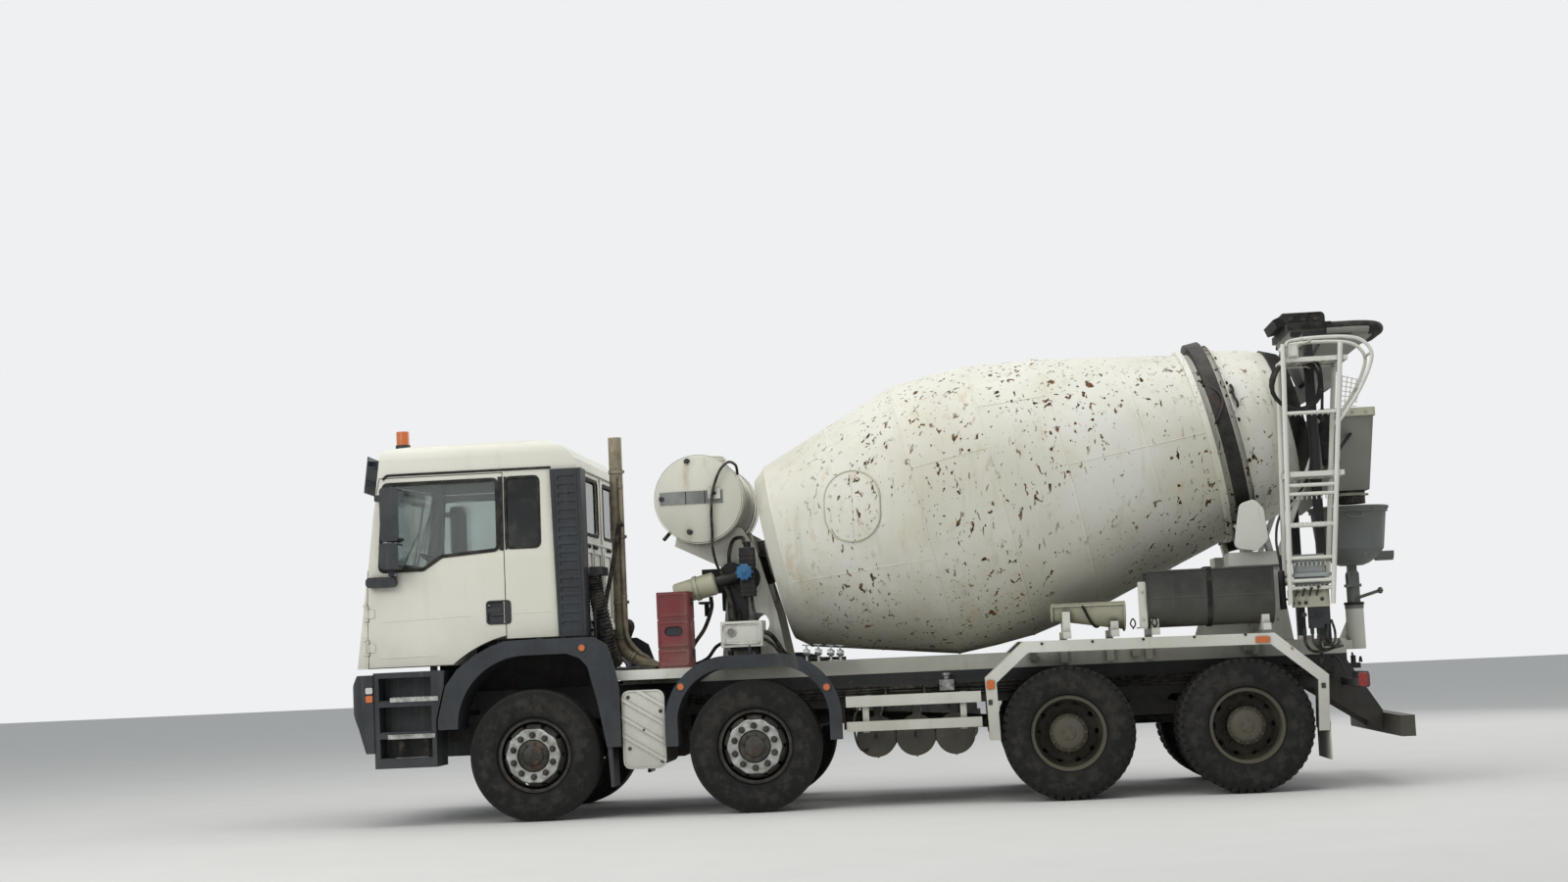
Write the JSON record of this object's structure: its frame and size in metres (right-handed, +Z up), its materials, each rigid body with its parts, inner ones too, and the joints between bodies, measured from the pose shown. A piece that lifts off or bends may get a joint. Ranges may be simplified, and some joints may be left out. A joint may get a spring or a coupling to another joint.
{
  "type": "concrete mixer truck",
  "caption": "Forward-control truck with a tilted, rear-loading rotating concrete drum, water tank, steered front axles, driven rear axles and a swivelling discharge chute.",
  "frame": {"origin": "on the ground, midway between the bumper's front and the hopper's rear lip, in the truck's middle plane", "axes": "+X forward, +Y to the vehicle's left, +Z up"},
  "size_m": [8.6549, 2.74, 3.91],
  "materials": {
    "white_paint": "weathered white paint",
    "cab_paint": "weathered white paint",
    "slate_paint": "dusty dark slate coating",
    "frame_paint": "dusty dark grey paint",
    "drum_paint": "off-white paint with cement film and rust",
    "cast_dark": "oily dark castings",
    "rusty_steel": "heat-tanned, rusty steel",
    "aluminium": "dull aluminium",
    "red_paint": "faded dark red",
    "hopper_steel": "grey paint under concrete splashes",
    "box_grey": "blue-grey paint",
    "chute_steel": "worn grey, scraped bare",
    "dark_plastic": "grained dark plastic",
    "lens": "amber, clear and red lenses",
    "glass": "lightly tinted",
    "interior": "grey fabric and plastic",
    "tyre": "dusty rubber",
    "rim_front": "dirty aluminium",
    "rim_rear": "dirty grey paint",
    "track_steel": "greased, worn bright on its rim"
  },
  "bodies": {
    "chassis": {"frame_rails": "frame_paint", "bumper_and_steps": "slate_paint", "lamps": "lens", "fenders": "slate_paint", "front_axles": "cast_dark", "rear_axles": "cast_dark", "engine_and_gearbox": "cast_dark", "exhaust_stack": "rusty_steel", "side_boxes": "white_paint", "fuel_tank": "aluminium", "air_tanks": "frame_paint", "side_guards": "aluminium", "rear_mudguards": "white_paint", "subframe": "white_paint", "drum_pedestals": "white_paint", "drum_drive": "cast_dark", "water_tank": "white_paint", "red_box": "red_paint", "charge_hopper": "hopper_steel", "collector": "hopper_steel", "ladder": "white_paint", "control_box": "box_grey", "stored_chutes": "chute_steel"},
    "cab": {"cab_shell": "cab_paint", "cab_glass": "glass", "front_grille": "dark_plastic", "cab_interior": "interior", "cab_trim": "slate_paint"},
    "door_left": {"door_left": "cab_paint", "door_glass_left": "glass", "mirrors_left": "dark_plastic"},
    "door_right": {"door_right": "cab_paint", "door_glass_right": "glass", "mirrors_right": "dark_plastic"},
    "knuckle_1_left": {"knuckle_1_left": "cast_dark"},
    "wheel_1_left": {"tyre_1_left": "tyre", "rim_1_left": "rim_front"},
    "knuckle_1_right": {"knuckle_1_right": "cast_dark"},
    "wheel_1_right": {"tyre_1_right": "tyre", "rim_1_right": "rim_front"},
    "knuckle_2_left": {"knuckle_2_left": "cast_dark"},
    "wheel_2_left": {"tyre_2_left": "tyre", "rim_2_left": "rim_front"},
    "knuckle_2_right": {"knuckle_2_right": "cast_dark"},
    "wheel_2_right": {"tyre_2_right": "tyre", "rim_2_right": "rim_front"},
    "wheels_3_left": {"tyres_3_left": "tyre", "rims_3_left": "rim_rear"},
    "wheels_3_right": {"tyres_3_right": "tyre", "rims_3_right": "rim_rear"},
    "wheels_4_left": {"tyres_4_left": "tyre", "rims_4_left": "rim_rear"},
    "wheels_4_right": {"tyres_4_right": "tyre", "rims_4_right": "rim_rear"},
    "drum": {"drum": "drum_paint", "roller_track": "track_steel"},
    "roller_left": {"roller_left": "track_steel"},
    "roller_right": {"roller_right": "track_steel"},
    "chute_turntable": {"chute_turntable": "chute_steel"},
    "swing_chute": {"swing_chute": "chute_steel"}
  },
  "joints": [
    {"name": "cab_tilt", "type": "hinge", "parent": "chassis", "child": "cab", "pos_m": [4.1225, 0, 0.95], "axis": [0, 1, 0], "range_deg": [0, 60]},
    {"name": "door_left_hinge", "type": "hinge", "parent": "cab", "child": "door_left", "pos_m": [4.177, 1.124, 1.8], "axis": [0, 0, -1], "range_deg": [0, 70]},
    {"name": "door_right_hinge", "type": "hinge", "parent": "cab", "child": "door_right", "pos_m": [4.177, -1.124, 1.8], "axis": [0, 0, 1], "range_deg": [0, 70]},
    {"name": "steer_1_left", "type": "hinge", "parent": "chassis", "child": "knuckle_1_left", "pos_m": [2.8225, 0.895, 0.53], "axis": [0, 0, 1], "range_deg": [-40, 40]},
    {"name": "wheel_1_left_spin", "type": "hinge", "parent": "knuckle_1_left", "child": "wheel_1_left", "pos_m": [2.8225, 1.024, 0.53], "axis": [0, 1, 0], "continuous": true},
    {"name": "steer_1_right", "type": "hinge", "parent": "chassis", "child": "knuckle_1_right", "pos_m": [2.8225, -0.895, 0.53], "axis": [0, 0, 1], "range_deg": [-40, 40]},
    {"name": "wheel_1_right_spin", "type": "hinge", "parent": "knuckle_1_right", "child": "wheel_1_right", "pos_m": [2.8225, -1.024, 0.53], "axis": [0, 1, 0], "continuous": true},
    {"name": "steer_2_left", "type": "hinge", "parent": "chassis", "child": "knuckle_2_left", "pos_m": [1.0275, 0.895, 0.53], "axis": [0, 0, 1], "range_deg": [-28, 28]},
    {"name": "wheel_2_left_spin", "type": "hinge", "parent": "knuckle_2_left", "child": "wheel_2_left", "pos_m": [1.0275, 1.024, 0.53], "axis": [0, 1, 0], "continuous": true},
    {"name": "steer_2_right", "type": "hinge", "parent": "chassis", "child": "knuckle_2_right", "pos_m": [1.0275, -0.895, 0.53], "axis": [0, 0, 1], "range_deg": [-28, 28]},
    {"name": "wheel_2_right_spin", "type": "hinge", "parent": "knuckle_2_right", "child": "wheel_2_right", "pos_m": [1.0275, -1.024, 0.53], "axis": [0, 1, 0], "continuous": true},
    {"name": "wheels_3_left_spin", "type": "hinge", "parent": "chassis", "child": "wheels_3_left", "pos_m": [-1.4775, 0.902, 0.53], "axis": [0, 1, 0], "continuous": true},
    {"name": "wheels_3_right_spin", "type": "hinge", "parent": "chassis", "child": "wheels_3_right", "pos_m": [-1.4775, -0.902, 0.53], "axis": [0, 1, 0], "continuous": true},
    {"name": "wheels_4_left_spin", "type": "hinge", "parent": "chassis", "child": "wheels_4_left", "pos_m": [-2.8775, 0.902, 0.53], "axis": [0, 1, 0], "continuous": true},
    {"name": "wheels_4_right_spin", "type": "hinge", "parent": "chassis", "child": "wheels_4_right", "pos_m": [-2.8775, -0.902, 0.53], "axis": [0, 1, 0], "continuous": true},
    {"name": "drum_spin", "type": "hinge", "parent": "chassis", "child": "drum", "pos_m": [-0.4015, 0, 2.341], "axis": [-0.9781, 0, 0.2079], "continuous": true},
    {"name": "roller_left_spin", "type": "hinge", "parent": "chassis", "child": "roller_left", "pos_m": [-3.06944, 0.61585, 2.10223], "axis": [-0.9781, 0, 0.2079], "continuous": true},
    {"name": "roller_right_spin", "type": "hinge", "parent": "chassis", "child": "roller_right", "pos_m": [-3.06944, -0.61585, 2.10223], "axis": [-0.9781, 0, 0.2079], "continuous": true},
    {"name": "chute_turn", "type": "hinge", "parent": "chassis", "child": "chute_turntable", "pos_m": [-3.9675, 0, 1.42], "axis": [0, 0, 1], "range_deg": [-80, 80]},
    {"name": "chute_lift", "type": "hinge", "parent": "chute_turntable", "child": "swing_chute", "pos_m": [-3.9675, 0, 1.7], "axis": [0, 1, 0], "range_deg": [-12, 12]}
  ],
  "couplings": [
    {"joint": "steer_1_right", "follows": "steer_1_left", "ratio": 1},
    {"joint": "steer_2_left", "follows": "steer_1_left", "ratio": 0.7},
    {"joint": "steer_2_right", "follows": "steer_1_left", "ratio": 0.7},
    {"joint": "roller_left_spin", "follows": "drum_spin", "ratio": -7},
    {"joint": "roller_right_spin", "follows": "drum_spin", "ratio": -7}
  ]
}
